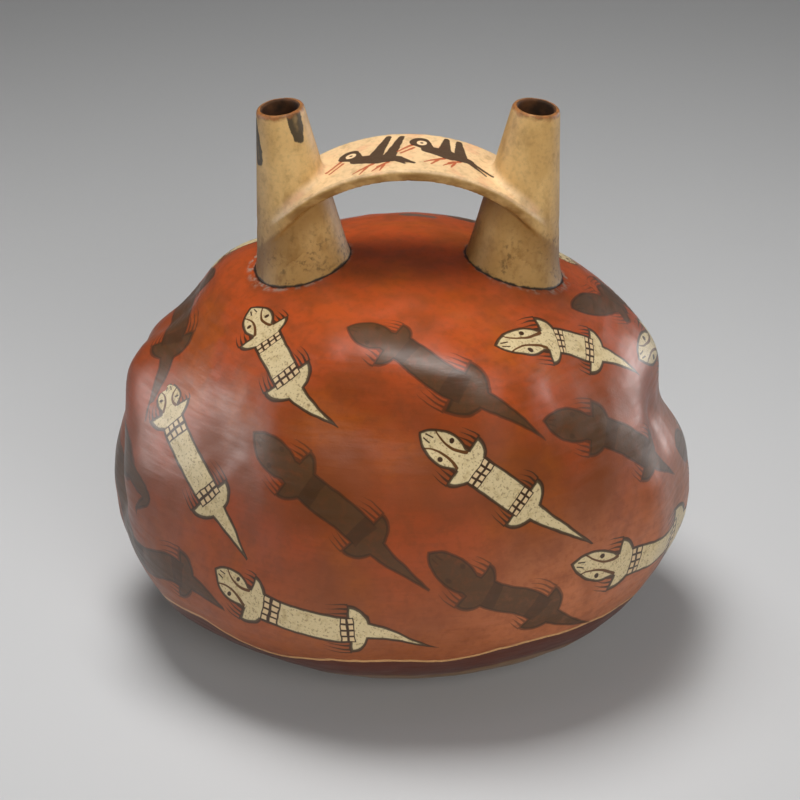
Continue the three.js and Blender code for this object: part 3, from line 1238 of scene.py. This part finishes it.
@dataclass
class Spout:
    """One leaning spout, in millimetres along its own axis from its foot on the body."""

    side: int
    foot_height: float
    spacing: float = 59.6
    length: float = 48.4
    lean: float = 7.5
    rim_diameter: float = 13.5
    rim_wall: float = 1.55
    foot_diameter: float = 27.0
    foot_wall: float = 3.7
    flare: float = 2.2
    flare_height: float = 5.0
    root: float = 8.4
    segments: int = 96
    wall_steps: int = 40
    lip_steps: int = 8
    weld: float = 0.001
    trim_reach: float = 1.0

    @property
    def foot(self) -> Vector:
        """The middle of its foot."""
        return Vector((self.side * self.spacing / 2, 0, self.foot_height))

    def leaning(self, size: int, way: int = 1) -> Matrix:
        """The turn that leans the spout.

        Args:
            size: How many rows the matrix has.
            way: 1 to lean an upright spout, or -1 to set a leaning one upright.

        Returns:
            The matrix.
        """
        return Matrix.Rotation(math.radians(way * self.side * self.lean), size, "Y")

    def radius(self, height: float) -> float:
        """The outer radius at a height along the axis.

        Args:
            height: Millimetres up the axis from the foot.

        Returns:
            The radius.
        """
        taper = self.foot_diameter + (self.rim_diameter - self.foot_diameter) * height / self.length
        into_flare = max(0.0, self.flare_height - height) / (self.flare_height + self.root)
        return taper / 2 + self.flare * into_flare**2

    def turned(self, profile: list[tuple[float, float]]) -> bmesh.types.BMesh:
        """Turns a profile round the spout's axis and stands it in its place.

        Args:
            profile: Radius and height of each point, from the lower pole to the upper one.

        Returns:
            The closed mesh.
        """
        form = bmesh.new()
        verts = [form.verts.new((radius, 0, height)) for radius, height in profile]
        edges = [form.edges.new(pair) for pair in zip(verts, verts[1:])]
        bmesh.ops.spin(
            form,
            geom=verts + edges,
            cent=(0, 0, 0),
            axis=(0, 0, 1),
            angle=2 * math.pi,
            steps=self.segments,
            use_merge=True,
        )
        bmesh.ops.remove_doubles(form, verts=form.verts[:], dist=self.weld)
        bmesh.ops.recalc_face_normals(form, faces=form.faces[:])
        stand = Matrix.Translation(self.foot) @ self.leaning(4)
        bmesh.ops.transform(form, matrix=stand, verts=form.verts[:])
        return form

    def lip(self, start: float, end: float) -> list[tuple[float, float]]:
        """Part of the rounded lip's outline, between two angles in degrees.

        Args:
            start: The angle of the first point, 0 outwards and 90 up.
            end: The angle of the last point.

        Returns:
            Radius and height of each point.
        """
        lip_radius = self.rim_wall / 2
        middle = self.rim_diameter / 2 - lip_radius
        outline = []
        for step in range(self.lip_steps + 1):
            angle = math.radians(start + (end - start) * step / self.lip_steps)
            height = self.length - lip_radius + lip_radius * math.sin(angle)
            outline.append((middle + lip_radius * math.cos(angle), height))
        return outline

    def outside(self) -> bmesh.types.BMesh:
        """The spout's outside, as a solid.

        Returns:
            The closed mesh.
        """
        profile = [(0.0, -self.root)]
        for step in range(self.wall_steps):
            height = -self.root + (self.length - self.rim_wall / 2 + self.root) * step / self.wall_steps
            profile.append((self.radius(height), height))
        profile += self.lip(0, 90)
        profile.append((0.0, self.length))
        return self.turned(profile)

    def local(self, point: Vector) -> Vector:
        """A point as seen from the spout's foot, with Z along its axis."""
        return self.leaning(3, -1) @ (point - self.foot)

    def away(self, point: Vector) -> float:
        """How far outside the spout a point is, straight out from its axis."""
        place = self.local(point)
        return math.hypot(place.x, place.y) - self.radius(place.z)

    def below_lip(self, point: Vector) -> float:
        """How far below the lip a point is, or far where it isn't on this spout."""
        place = self.local(point)
        return self.length - place.z if math.hypot(place.x, place.y) < self.foot_diameter else self.length

    def trim(self, vert: bmesh.types.BMVert, bridge: "Bridge") -> None:
        """Sets a point that lies on the turned wall, clear of the strap, exactly on it.

        Args:
            vert: The point.
            bridge: The strap.
        """
        place = self.local(vert.co)
        radius = math.hypot(place.x, place.y)
        if abs(radius - self.radius(place.z)) > self.trim_reach or radius < self.trim_reach:
            return
        clear = bridge.above_top(vert.co) - bridge.clear_above
        if clear <= 0 and bridge.clear_below + bridge.above_top(vert.co) + bridge.thickness > 0:
            return
        wanted = self.radius(place.z)
        lip_radius = self.rim_wall / 2
        if place.z > self.length - lip_radius:
            rise = min(place.z - self.length + lip_radius, lip_radius)
            wanted = self.rim_diameter / 2 - lip_radius + math.sqrt(lip_radius**2 - rise**2)
        place.x *= wanted / radius
        place.y *= wanted / radius
        vert.co = self.leaning(3) @ place + self.foot

    def bore(self) -> bmesh.types.BMesh:
        """The spout's bore, from inside the body out through the lip.

        Returns:
            The closed mesh.
        """
        start = -2 * self.root
        end = self.length + self.rim_diameter
        bore_radius = self.foot_diameter / 2 - self.foot_wall
        profile = [(0.0, start), (bore_radius, start), (bore_radius, 0.0)]
        profile += self.lip(180, 90)
        profile.append((self.rim_diameter / 2 - self.rim_wall / 2, end))
        profile.append((0.0, end))
        return self.turned(profile)


@dataclass
class Bridge:
    """The arched strap between the spouts, in millimetres."""

    spacing: float
    rim_height: float
    width: float = 26.0
    end_shift: float = 1.0
    end_length: float = 11.4
    thickness: float = 3.4
    below_rim: float = 13.8
    rise: float = 43.0
    arch_reach: float = 17.6
    arch_steps: int = 96
    end_steps: int = 48
    clear_above: float = 5.0
    clear_below: float = 2.5
    reach_above: float = 1.2
    reach_below: float = 17.0

    @property
    def end_centre(self) -> float:
        """How far from the middle the centres of the strap's round ends are."""
        return self.spacing / 2 + self.end_shift

    @property
    def half_span(self) -> float:
        """Half the length of the arch at its foot."""
        return self.spacing / 2 + self.arch_reach

    @property
    def foot(self) -> float:
        """The height of the arch's foot."""
        return self.rim_height - self.below_rim - self.rise

    def above_top(self, point: Vector) -> float:
        """How far above the strap's upper face a point is."""
        share = min(abs(point.x) / self.half_span, 1)
        return point.z - self.foot - self.rise * math.sqrt(1 - share**2)

    def from_edge(self, point: Vector) -> float:
        """How far in from the strap's edges and round ends a point is, or far where it isn't by it.

        Args:
            point: The point.

        Returns:
            The distance, which is negative outside the edges.
        """
        if not -self.reach_below < self.above_top(point) < self.reach_above:
            return self.width
        beyond = max(abs(point.x) - self.end_centre, 0) * self.width / 2 / self.end_length
        return self.width / 2 - math.hypot(beyond, point.y)

    def arch(self) -> bmesh.types.BMesh:
        """The elliptical band, wider than the strap.

        Returns:
            The closed mesh.
        """
        spans = ((self.half_span, self.rise), (self.half_span - self.thickness, self.rise - self.thickness))
        corners = []
        for (span, rise), way in zip(spans, (1, -1)):
            for step in range(self.arch_steps + 1)[::way]:
                angle = math.pi * step / self.arch_steps
                corners.append((span * math.cos(angle), -self.width, self.foot + rise * math.sin(angle)))
        return prism(corners, (0, 2 * self.width, 0))

    def outline_prism(self) -> bmesh.types.BMesh:
        """An upright prism whose round ends wrap the fronts and backs of the spouts.

        Returns:
            The closed mesh.
        """
        corners = []
        for side, start in ((1, -90), (-1, 90)):
            for step in range(self.end_steps + 1):
                angle = math.radians(start + 180 * step / self.end_steps)
                x = side * self.end_centre + self.end_length * math.cos(angle)
                corners.append((x, self.width / 2 * math.sin(angle), self.foot))
        return prism(corners, (0, 0, 2 * self.rise))

    def build(self) -> bpy.types.Object:
        """The strap, cut to its outline.

        Returns:
            The strap's solid.
        """
        strap = to_object("strap", self.arch())
        combine(strap, to_object("strap_outline", self.outline_prism()), "INTERSECT")
        return strap


class LampUse(Enum):
    """What a lamp does for the clay."""

    LIGHT = "only lights it"
    GLOSS = "only shows in its gloss"


@dataclass(frozen=True)
class Lamp:
    """A square soft light.

    Attributes:
        name: The light's name.
        use: Whether it lights the clay or shows in its gloss.
        place: Where it hangs, in metres.
        size: The length of its side, in metres.
        power: Its power in watts.
        spread: The angle of its beam, in degrees.
        aim: The point it faces, in metres.
    """

    name: str
    use: LampUse
    place: tuple[float, float, float]
    size: float
    power: float
    spread: float
    aim: tuple[float, float, float] = (0, 0, 0.07)

    def build(self) -> None:
        """Hangs the lamp."""
        data = bpy.data.lights.new(self.name, "AREA")
        data.size = self.size
        data.energy = self.power
        data.spread = math.radians(self.spread)
        lamp = make_object(self.name, data)
        lamp.location = self.place
        lamp.rotation_euler = (Vector(self.aim) - Vector(self.place)).to_track_quat("-Z", "Y").to_euler()
        lamp.visible_camera = False
        lamp.visible_diffuse = self.use is LampUse.LIGHT
        lamp.visible_glossy = self.use is LampUse.GLOSS


@dataclass
class Studio:
    """Floor, lights and the camera at the photograph's viewing angle, in metres."""

    elevation: float = 27.5
    distance: float = 1.4
    lens: float = 217.0
    sensor: float = 36.0
    picture: float = 800.0
    target: tuple[float, float, float] = (-0.0023, 0.0, 0.070)
    world_strength: float = 0.08
    floor_reach: float = 6.0
    paper: Colour = (0.58, 0.58, 0.58)
    paper_roughness: float = 0.8
    lamps: tuple[Lamp, ...] = (
        Lamp("overhead", LampUse.LIGHT, (-0.12, 0.16, 0.90), 0.42, 1.6, 80, (0, -0.08, 0)),
        Lamp("softbox", LampUse.GLOSS, (0.03, -0.25, 1.00), 0.36, 2.2, 120),
        Lamp("fill", LampUse.LIGHT, (0.28, -1.02, 0.46), 0.80, 1.4, 60),
        Lamp("left_card", LampUse.GLOSS, (-0.90, 0.05, 0.22), 0.50, 2.0, 120),
        Lamp("right_card", LampUse.GLOSS, (0.80, 0.45, 0.12), 0.55, 3.0, 120),
    )

    @property
    def back(self) -> Vector:
        """The direction from the target to the camera."""
        angle = math.radians(self.elevation)
        return Vector((0, -math.cos(angle), math.sin(angle)))

    @property
    def eye(self) -> Vector:
        """Where the camera stands."""
        return Vector(self.target) + self.back * self.distance

    def sight(self, column: float, row: float) -> Vector:
        """The direction from the camera through a pixel of the photograph.

        Args:
            column: Pixels from the photograph's left edge.
            row: Pixels from its upper edge.

        Returns:
            The unit direction.
        """
        reach = self.lens / self.sensor * self.picture
        right = Vector((1, 0, 0))
        up = right.cross(-self.back)
        half = self.picture / 2
        return (-self.back * reach + right * (column - half) + up * (half - row)).normalized()

    def camera(self) -> None:
        """Makes the camera that looks at the bottle from its front."""
        data = bpy.data.cameras.new("camera")
        data.lens = self.lens
        data.sensor_width = self.sensor
        camera = make_object("camera", data)
        camera.location = self.eye
        camera.rotation_euler = (-self.back).to_track_quat("-Z", "Y").to_euler()
        bpy.context.scene.camera = camera

    def build(self) -> None:
        """Makes the camera, the lights and the floor."""
        self.camera()
        for lamp in self.lamps:
            lamp.build()
        world = bpy.data.worlds.new("studio")
        world.use_nodes = True
        background = world.node_tree.nodes["Background"]
        background.inputs["Color"].default_value = (1, 1, 1, 1)
        background.inputs["Strength"].default_value = self.world_strength
        bpy.context.scene.world = world
        bpy.context.scene.view_settings.view_transform = "Standard"
        form = bmesh.new()
        bmesh.ops.create_grid(form, x_segments=1, y_segments=1, size=self.floor_reach)
        floor = to_object("floor", form)
        floor.data.materials.append(Finish("paper").paint(self.paper, self.paper_roughness))


@dataclass(frozen=True)
class Seen:
    """A place on the side that the photograph shows, by its pixel there.

    Attributes:
        column: Pixels from the photograph's left edge.
        row: Pixels from its upper edge.
        search: How far along a line of sight that misses the skin the nearest skin is looked for,
            in millimetres before and behind the bottle's middle.
    """

    column: float
    row: float
    search: int = 60

    def on(self, skin: BVHTree, studio: Studio) -> Vector:
        """The place on the skin, or the nearest one to the line of sight where that passes by.

        Args:
            skin: The body's outside, in metres.
            studio: The camera.

        Returns:
            The place, in metres.
        """
        direction = studio.sight(self.column, self.row)
        place = skin.ray_cast(studio.eye, direction)[0]
        if place is None:
            steps = range(-self.search, self.search + 1, 2)
            passing = [studio.eye + direction * (studio.distance + step * MM) for step in steps]
            place = min((skin.find_nearest(point) for point in passing), key=lambda found: found[3])[0]
        return place


@dataclass(frozen=True)
class Around:
    """A place that the photograph hides, by its azimuth in degrees and its height in millimetres."""

    azimuth: float
    height: float

    def on(self, skin: BVHTree, studio: Studio) -> Vector:
        """The place on the skin, straight out from the bottle's axis.

        Args:
            skin: The body's outside, in metres.
            studio: The camera, from whose distance the skin is looked for.

        Returns:
            The place, in metres.
        """
        angle = math.radians(self.azimuth)
        outwards = Vector((math.sin(angle), -math.cos(angle), 0))
        start = outwards * studio.distance + Vector((0, 0, self.height * MM))
        return skin.ray_cast(start, -outwards)[0]


Place = Seen | Around


class Colouring(Enum):
    """The paint that fills a lizard."""

    CREAM = 1
    BROWN = 2


CREAM, BROWN = Colouring


@dataclass(frozen=True)
class Lizard:
    """One painted lizard, by the places of five points along its back."""

    colouring: Colouring
    nose: Place
    first_belt: Place
    second_belt: Place
    tail_root: Place
    tip: Place

    @classmethod
    def hidden(
        cls, colouring: Colouring, azimuth: float, height: float, turn: float, drop: float
    ) -> "Lizard":
        """A lizard on the side that the photograph hides.

        Args:
            colouring: Its paint.
            azimuth: The nose's azimuth in degrees.
            height: The nose's height in millimetres.
            turn: How many degrees the tail's tip is further round.
            drop: How much lower the tip is.

        Returns:
            The lizard, straight from nose to tip.
        """
        shares = (0, 0.34, 0.6, 0.7, 1)
        return cls(colouring, *(Around(azimuth + turn * share, height - drop * share) for share in shares))


@dataclass
class Painting:
    """What is painted on the body: where each lizard lies and how high the base band runs.

    Attributes:
        studio: The camera, from which the places that the photograph shows are found.
        drawing: The lizard.
        reach: How far outside its own room a lizard's paint may reach, in millimetres.
        off_drawing: What stands for the place along the drawing where there is no lizard.
        room_stations: Millimetres along the drawing.
        room: How far to each side the drawing needs room there.
        band_softening: Over how many degrees to each side the band's line is softened.
        lizards: The lizards.
        band_heights: Azimuths in degrees, and the height of the band's upper line in millimetres.
    """

    studio: Studio
    drawing: LizardDrawing = field(default_factory=LizardDrawing)
    reach: float = 2.5
    off_drawing: float = -100.0
    room_stations: tuple[float, ...] = (0, 8, 40, LizardDrawing.length)
    room: tuple[float, ...] = (1.0, 9.0, 9.0, 0.5)
    band_softening: int = 7
    lizards: tuple[Lizard, ...] = (
        Lizard(CREAM, Seen(251, 308), Seen(267, 339), Seen(283, 370), Seen(296, 393), Seen(334, 424.5)),
        Lizard(CREAM, Seen(169, 384), Seen(173, 422), Seen(204, 487), Seen(219, 512), Seen(246, 558)),
        Lizard(CREAM, Seen(216, 569), Seen(262, 607), Seen(340, 630), Seen(368, 631), Seen(430, 646)),
        Lizard(CREAM, Seen(420, 433), Seen(476, 470), Seen(516, 498), Seen(535, 512), Seen(590, 542)),
        Lizard(CREAM, Seen(496, 346), Seen(557, 340), Seen(585, 348), Seen(603, 354), Seen(637, 373)),
        Lizard(CREAM, Seen(572, 565), Seen(630, 562), Seen(668, 541), Around(82, 37), Around(100, 28)),
        Lizard(CREAM, Seen(639, 359), Around(96, 86), Around(108, 78), Around(113, 74), Around(128, 62)),
        Lizard(CREAM, Seen(568, 262), Around(118, 106), Around(130, 101), Around(136, 98), Around(150, 90)),
        Lizard(
            CREAM,
            Around(-142, 114),
            Around(-123, 112),
            Around(-116, 107),
            Around(-116, 101),
            Around(-122, 87),
        ),
        Lizard(BROWN, Seen(348, 327), Seen(402, 348), Seen(446, 380), Seen(485, 400), Seen(541, 436)),
        Lizard(BROWN, Seen(254, 433), Seen(305, 486), Seen(355, 526), Seen(377, 549), Seen(429, 590)),
        Lizard(BROWN, Seen(429, 553), Seen(487, 594), Seen(532, 605), Seen(552, 616), Seen(586, 622)),
        Lizard(BROWN, Seen(544, 421), Seen(606, 432), Seen(643, 451), Seen(655, 460), Seen(673, 473)),
        Lizard(BROWN, Seen(572, 308), Seen(615, 303), Around(98, 100), Around(106, 95), Around(124, 80)),
        Lizard(BROWN, Seen(213, 277), Seen(192, 294), Seen(176, 331), Seen(167, 358), Seen(146, 417)),
        Lizard(BROWN, Around(-117, 57), Seen(136, 548), Seen(172, 569), Seen(192, 583), Seen(226, 611)),
        Lizard(BROWN, Seen(676, 446), Around(96, 51), Around(107, 44), Around(113, 40), Around(130, 28)),
        Lizard(BROWN, Around(-132, 84), Around(-115, 75), Around(-101, 68), Seen(131, 470), Seen(136, 511)),
        Lizard.hidden(BROWN, 147, 114, 45, 16),
        Lizard.hidden(BROWN, 118, 90, 40, 32),
        Lizard.hidden(CREAM, 158, 94, 38, 34),
        Lizard.hidden(BROWN, 198, 92, 38, 34),
        Lizard.hidden(CREAM, 122, 56, 40, 24),
        Lizard.hidden(BROWN, 160, 58, 40, 26),
        Lizard.hidden(CREAM, 199, 56, 38, 24),
    )
    band_heights: tuple[tuple[float, float], ...] = (
        (-160, 21.0),
        (-120, 24.0),
        (-85, 22.5),
        (-60, 24.1),
        (-49, 25.0),
        (-34, 18.8),
        (-16, 23.6),
        (-4, 23.4),
        (9, 21.4),
        (26, 25.2),
        (52, 24.2),
        (90, 21.0),
        (130, 24.0),
        (170, 22.0),
    )

    def back_line(self, lizard: Lizard, skin: BVHTree) -> tuple[np.ndarray, ...]:
        """The line along a lizard's back.

        Args:
            lizard: The lizard.
            skin: The body's outside, in metres.

        Returns:
            Millimetres along the drawing, points, directions along and directions across.
        """
        draw = self.drawing
        places = (lizard.nose, lizard.first_belt, lizard.second_belt, lizard.tail_root, lizard.tip)
        knots = np.array([place.on(skin, self.studio) for place in places]) / MM
        stations = np.array((0, draw.first_belt, draw.second_belt, draw.tail_root, draw.length))
        slopes = np.gradient(knots, stations, axis=0)
        along = np.arange(0, draw.length + 0.5, 1.0)
        piece = np.clip(np.searchsorted(stations, along, side="right") - 1, 0, len(stations) - 2)
        span = (stations[piece + 1] - stations[piece])[:, None]
        share = (along - stations[piece])[:, None] / span
        points = (
            (2 * share**3 - 3 * share**2 + 1) * knots[piece]
            + (share**3 - 2 * share**2 + share) * span * slopes[piece]
            + (3 * share**2 - 2 * share**3) * knots[piece + 1]
            + (share**3 - share**2) * span * slopes[piece + 1]
        )
        found = [skin.find_nearest(Vector(point) * MM) for point in points]
        points = np.array([place for place, _, _, _ in found]) / MM
        normals = np.array([normal for _, normal, _, _ in found])
        directions = np.gradient(points, along, axis=0)
        sides = np.cross(normals, directions)
        sides /= np.linalg.norm(sides, axis=1)[:, None]
        return along, points, directions, sides

    def chart(self, points: np.ndarray, line: tuple[np.ndarray, ...]) -> tuple[np.ndarray, ...]:
        """Where points lie in a lizard's drawing.

        Args:
            points: The points, in millimetres.
            line: The line along the lizard's back.

        Returns:
            Millimetres along, across, and away from the room that the drawing takes.
        """
        along, backbone, directions, sides = line
        near = np.full(len(points), 0)
        least = np.full(len(points), np.inf)
        for index, place in enumerate(backbone):
            apart = ((points - place) ** 2).sum(axis=1)
            closer = apart < least
            near[closer] = index
            least[closer] = apart[closer]
        offset = points - backbone[near]
        ahead = directions[near]
        reach_ahead = (offset * ahead).sum(axis=1)
        ahead_square = (ahead**2).sum(axis=1)
        station = along[near] + reach_ahead / ahead_square
        across = (offset * sides[near]).sum(axis=1)
        room = np.interp(station, self.room_stations, self.room)
        past_end = np.maximum(np.maximum(-station, station - self.drawing.length), 0)
        across_true = np.sqrt(np.maximum(least - reach_ahead**2 / ahead_square, 0))
        away = np.hypot(np.maximum(across_true - room, 0), past_end)
        return station, across, away

    def mark_lizards(self, mesh: bpy.types.Mesh, skin: BVHTree) -> None:
        """Gives each corner of the mesh its place in the nearest lizard's drawing, in an attribute.

        Args:
            mesh: The bottle's mesh, in metres.
            skin: The body's outside, in metres.
        """
        points = read_points(mesh) / MM
        corners = read_whole(mesh.loops, "vertex_index")
        starts = read_whole(mesh.polygons, "loop_start")
        totals = read_whole(mesh.polygons, "loop_total")
        owner = np.repeat(np.arange(len(starts)), totals)
        least = np.full(len(starts), self.reach)
        marks = np.zeros((len(corners), 3))
        marks[:, 0] = self.off_drawing
        for lizard in self.lizards:
            along, across, away = self.chart(points, self.back_line(lizard, skin))
            face_away = np.add.reduceat(away[corners], starts) / totals
            nearer = face_away < least
            least[nearer] = face_away[nearer]
            chosen = nearer[owner]
            marks[chosen, 0] = along[corners[chosen]]
            marks[chosen, 1] = across[corners[chosen]]
            marks[chosen, 2] = lizard.colouring.value
        attribute = mesh.attributes.new("lizard", "FLOAT_VECTOR", "CORNER")
        attribute.data.foreach_set("vector", marks.ravel())

    def mark_band(self, mesh: bpy.types.Mesh) -> None:
        """Gives each point its height above the base band's top line, in an attribute.

        Args:
            mesh: The bottle's mesh, in metres.
        """
        points = read_points(mesh) / MM
        azimuths = np.degrees(np.arctan2(points[:, 0], -points[:, 1]))
        stations = np.array([azimuth for azimuth, _ in self.band_heights])
        heights = np.array([height for _, height in self.band_heights])
        fine = np.arange(-180, 180, 1.0)
        line = np.interp(fine, stations, heights, period=360)
        side = self.band_softening
        window = np.hanning(2 * side + 1)
        line = np.concatenate((line[-side:], line, line[:side]))
        line = np.convolve(line, window / window.sum(), "valid")
        mark(mesh, "above_band", points[:, 2] - np.interp(azimuths, fine, line, period=360))


@dataclass
class Bottle:
    """The whole bottle: one piece of fired clay."""

    studio: Studio
    body: Body = field(default_factory=Body)
    voxel: float = 0.6
    fillet_reach: float = 4.8
    fillet_passes: int = 32
    edge_kept: float = 0.9
    foot_ring: float = 3.6
    ring_cuts: int = 2
    smoothing_passes: int = 3
    crease: float = 38.0

    def upper(self, spouts: list[Spout], bridge: Bridge) -> bpy.types.Object:
        """The spouts and the strap, grown together as one.

        Args:
            spouts: Both spouts.
            bridge: The strap.

        Returns:
            Their joined solid, with the strap's top running into the spouts in a soft hollow.
        """
        joined = bridge.build()
        for spout in spouts:
            combine(joined, to_object("spout", spout.outside()), "UNION")
        remesh = joined.modifiers.new("even", "REMESH")
        remesh.mode = "VOXEL"
        remesh.voxel_size = self.voxel
        apply_modifiers(joined)
        form = bmesh.new()
        form.from_mesh(joined.data)
        soft = [vert for vert in form.verts if self.in_fillet(vert.co, spouts, bridge)]
        smooth(form, soft, self.fillet_passes)
        smooth(form, form.verts[:], self.smoothing_passes)
        for vert in form.verts:
            for spout in spouts:
                spout.trim(vert, bridge)
        form.to_mesh(joined.data)
        form.free()
        return joined

    def by_foot(self, point: Vector, spouts: list[Spout]) -> bool:
        """Whether a point on the body is close to where a spout's foot meets it."""
        away = min(abs(spout.away(point)) for spout in spouts)
        return point.z > self.body.girth_height and away < self.foot_ring

    def in_fillet(self, point: Vector, spouts: list[Spout], bridge: Bridge) -> bool:
        """Whether a point is where the strap's top runs into a spout.

        Args:
            point: The point, in millimetres.
            spouts: Both spouts.
            bridge: The strap.

        Returns:
            True where the clay is softened.
        """
        above = bridge.above_top(point)
        if above < -self.edge_kept or bridge.from_edge(point) < self.edge_kept:
            return False
        away = min(abs(spout.away(point)) for spout in spouts)
        return math.hypot(above, away) < self.fillet_reach

    def build(self) -> bpy.types.Object:
        """Builds the clay and dresses it.

        Returns:
            The finished piece.
        """
        sample = Spout(1, 0)
        foot_height = self.body.plain_height(sample.spacing / 2)
        rim_height = foot_height + sample.length * math.cos(math.radians(sample.lean))
        bridge = Bridge(sample.spacing, rim_height)
        spouts = [Spout(side, foot_height) for side in (-1, 1)]
        materials = [RedSlip().material(), CreamSlip().material(), BareClay().material()]

        outside = self.body.outside()
        ring = [edge for edge in outside.edges if all(self.by_foot(vert.co, spouts) for vert in edge.verts)]
        bmesh.ops.subdivide_edges(outside, edges=ring, cuts=self.ring_cuts, use_grid_fill=True)
        bmesh.ops.triangulate(outside, faces=outside.faces[:])
        clay = to_object("painted_bottle", outside)
        upper = self.upper(spouts, bridge)
        hollow = to_object("hollow", self.body.hollow())
        bores = [to_object("bore", spout.bore()) for spout in spouts]
        for part, index in ((clay, 0), (upper, 1), (hollow, 2), (bores[0], 2), (bores[1], 2)):
            for material in materials:
                part.data.materials.append(material)
            part.data.polygons.foreach_set("material_index", [index] * len(part.data.polygons))
        combine(clay, upper, "UNION")
        combine(clay, hollow, "DIFFERENCE")
        for bore in bores:
            combine(clay, bore, "DIFFERENCE")
        self.mark_distances(clay.data, spouts, bridge)
        clay.data.transform(Matrix.Scale(MM, 4))
        self.keep_in_frame(clay.data)
        clay.data.update()
        skin = BVHTree.FromPolygons(
            [vert.co for vert in clay.data.vertices],
            [face.vertices for face in clay.data.polygons if face.material_index == 0],
        )
        painting = Painting(self.studio)
        painting.mark_lizards(clay.data, skin)
        painting.mark_band(clay.data)
        clay.data.polygons.foreach_set("use_smooth", [True] * len(clay.data.polygons))
        clay.data.set_sharp_from_angle(angle=math.radians(self.crease))
        return clay

    def mark_distances(self, mesh: bpy.types.Mesh, spouts: list[Spout], bridge: Bridge) -> None:
        """Marks each point's distance from the spouts' feet, the lips and the strap, in attributes.

        Args:
            mesh: The bottle's mesh, still in millimetres.
            spouts: Both spouts.
            bridge: The strap.
        """
        materials = {}
        for face in mesh.polygons:
            for key in face.edge_keys:
                materials.setdefault(key, set()).add(face.material_index)
        seam = {index for key, kinds in materials.items() if kinds == {0, 1} for index in key}
        tree = KDTree(len(seam))
        for index in seam:
            tree.insert(mesh.vertices[index].co, index)
        tree.balance()
        gaps = [tree.find(vert.co)[2] for vert in mesh.vertices]
        lips = [min(spout.below_lip(vert.co) for spout in spouts) for vert in mesh.vertices]
        edges = [bridge.from_edge(vert.co) for vert in mesh.vertices]
        above = [bridge.above_top(vert.co) for vert in mesh.vertices]
        marks = {"foot_gap": gaps, "below_lip": lips, "strap_edge": edges, "above_strap": above}
        for name, values in marks.items():
            mark(mesh, name, values)

    def keep_in_frame(self, mesh: bpy.types.Mesh) -> None:
        """Holds every point within the box of the solid that the piece stands for.

        Args:
            mesh: The bottle's mesh, in metres.
        """
        low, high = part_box("bottle")
        points = np.clip(read_points(mesh), np.array(low), np.array(high))
        mesh.vertices.foreach_set("co", points.ravel())


def main() -> None:
    """Builds the scene in order and reports each piece."""
    logging.basicConfig(level=logging.INFO)
    studio = Studio()
    studio.build()
    bottle = Bottle(studio).build()
    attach(bottle, "root")
    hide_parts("bottle")
    log.info("bottle: %d faces", len(bottle.data.polygons))


if __name__ == "__main__":
    main()
